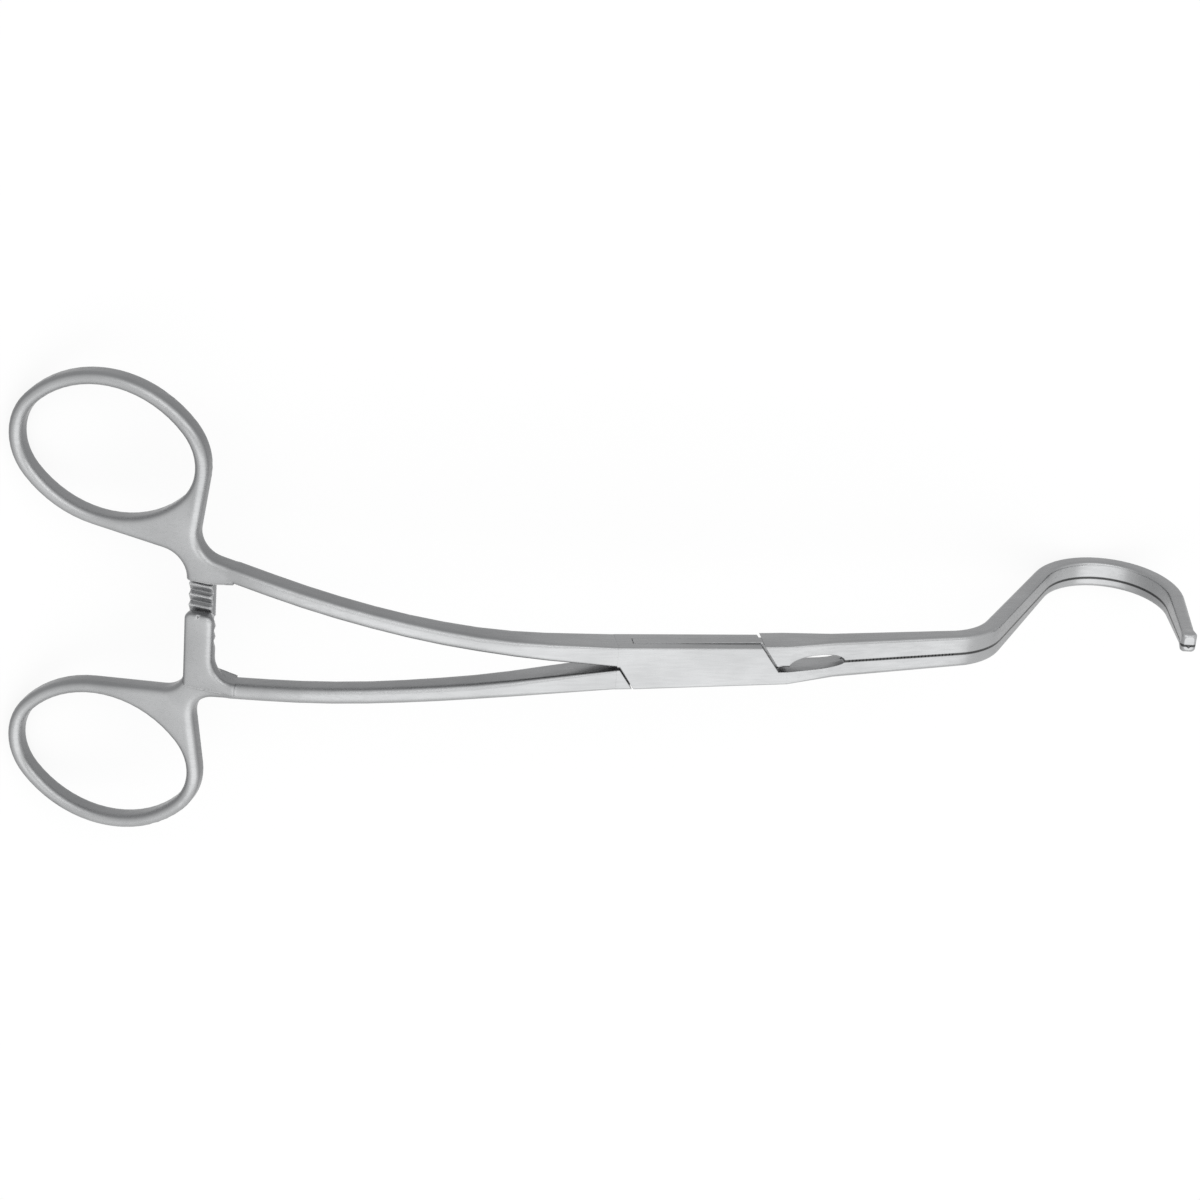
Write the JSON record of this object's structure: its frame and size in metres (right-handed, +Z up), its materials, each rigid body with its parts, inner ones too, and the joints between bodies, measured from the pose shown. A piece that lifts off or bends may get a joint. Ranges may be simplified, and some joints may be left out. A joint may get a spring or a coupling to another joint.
{
  "type": "vascular clamp",
  "caption": "Hooked vascular clamp: ring handles with a ratchet, a slotted box lock with a riveted pin, and long narrow jaws that end in an upturned hook.",
  "frame": {"origin": "on the hinge axis, on the upper face of the box lock", "axes": "+X from the finger rings to the jaws, +Y across the seam towards the ring of the slotted half, +Z up along the hinge axis, away from the table the clamp lies on"},
  "size_m": [0.1957, 0.0816, 0.0331],
  "materials": {
    "box_half_steel": "satin",
    "tongue_half_steel": "satin",
    "pin_steel": "satin"
  },
  "bodies": {
    "slotted_half": {"box_half": "box_half_steel", "pivot_pin": "pin_steel"},
    "moving_half": {"tongue_half": "tongue_half_steel"}
  },
  "joints": [
    {"name": "box_lock_pivot", "type": "hinge", "parent": "slotted_half", "child": "moving_half", "pos_m": [0, 0, -0.0025], "axis": [0, 0, 1], "range_deg": [0, 26]}
  ]
}
